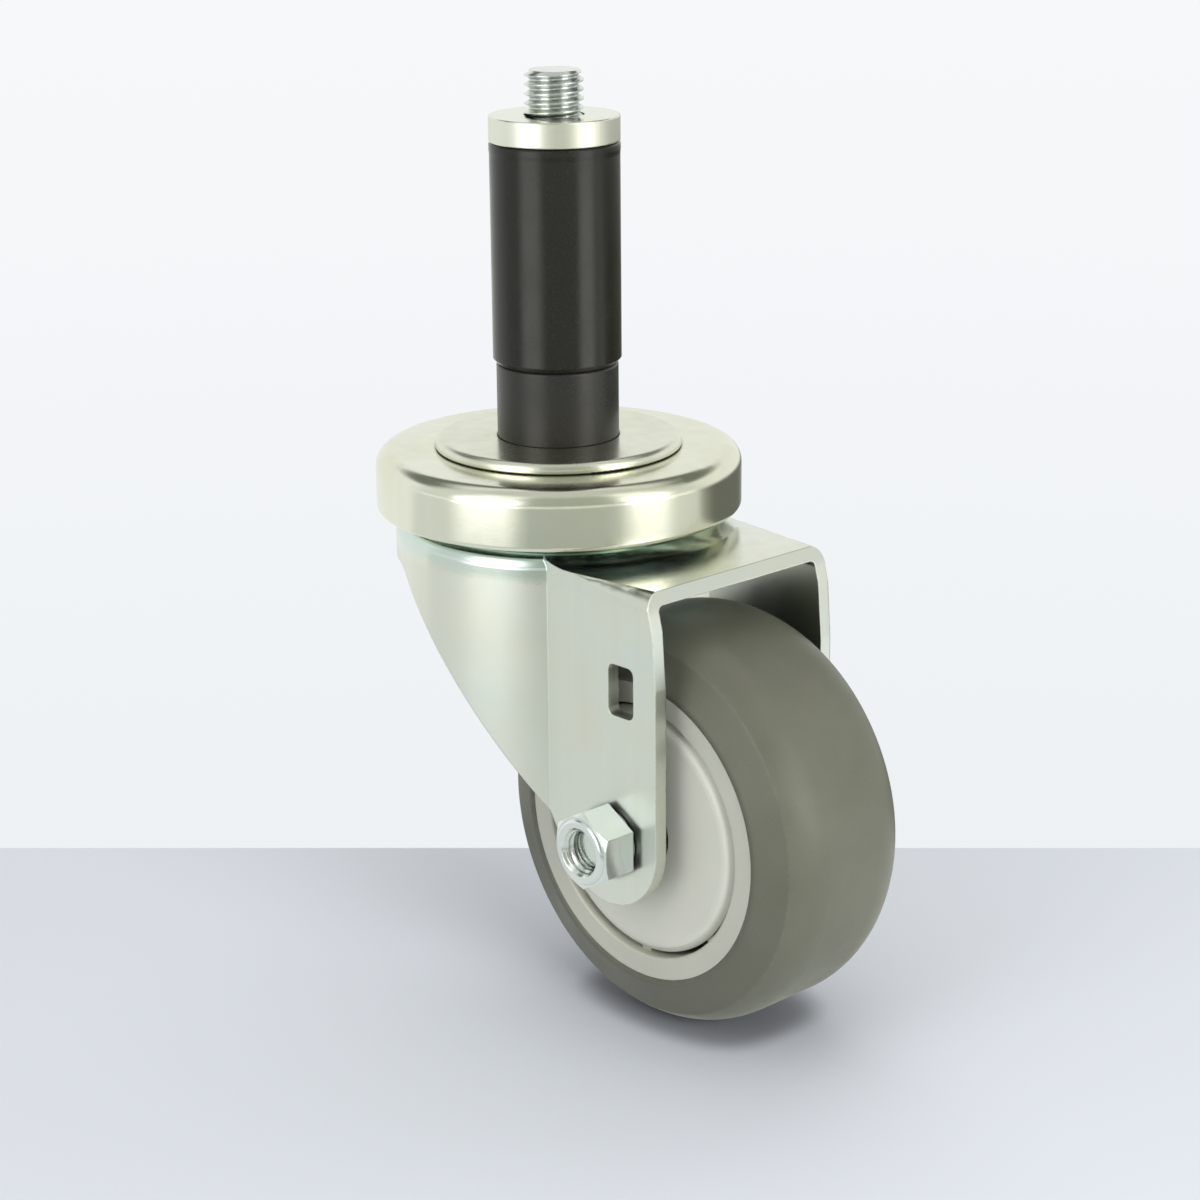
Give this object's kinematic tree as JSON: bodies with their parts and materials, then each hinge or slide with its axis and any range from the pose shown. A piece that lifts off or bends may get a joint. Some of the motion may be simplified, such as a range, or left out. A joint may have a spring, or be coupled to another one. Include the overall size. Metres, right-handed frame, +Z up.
{
  "type": "stem castor",
  "caption": "Swivel castor with a pressed zinc fork on ball races, a grey rubber tyred wheel and a threaded stem whose black rubber sleeve expands in a round tube.",
  "frame": {"origin": "on the swivel axis, in the top face of the flange washer, where the end of the tube sits", "axes": "+Z up along the swivel axis and the stem, +X the way the wheel trails, Y along the axle with the lock nut on the -Y side"},
  "size_m": [0.1286, 0.08, 0.1983],
  "materials": {
    "zinc": "bright zinc plate, faintly green, on pressed and machined steel",
    "steel": "plain ground steel",
    "sleeve_rubber": "satin black moulded rubber",
    "black_plastic": "satin black nylon",
    "grey_rubber": "smooth warm grey moulded rubber",
    "core_plastic": "light grey moulded polymer",
    "cover_plastic": "light grey moulded polymer"
  },
  "bodies": {
    "stem": {"king_bolt": "zinc", "expander_nut": "zinc", "rubber_sleeve": "sleeve_rubber", "lower_spacer": "black_plastic", "flange_washer": "zinc", "top_cap": "zinc", "king_sleeve": "steel", "lower_race": "zinc"},
    "fork": {"fork": "zinc", "upper_balls": "steel", "lower_balls": "steel", "axle_bolt": "zinc", "axle_nut": "zinc", "axle_sleeve": "steel", "near_spacer": "steel", "far_spacer": "steel", "centre_spacer": "steel", "near_inner_race": "steel", "far_inner_race": "steel", "near_bearing_balls": "steel", "far_bearing_balls": "steel"},
    "wheel": {"tyre": "grey_rubber", "wheel_core": "core_plastic", "near_cover": "cover_plastic", "far_cover": "cover_plastic", "near_outer_race": "steel", "far_outer_race": "steel"}
  },
  "joints": [
    {"name": "swivel", "type": "hinge", "parent": "stem", "child": "fork", "pos_m": [0, 0, 0], "axis": [0, 0, 1], "continuous": true},
    {"name": "wheel_spin", "type": "hinge", "parent": "fork", "child": "wheel", "pos_m": [0.0441, 0, -0.0752], "axis": [0, 1, 0], "continuous": true}
  ]
}
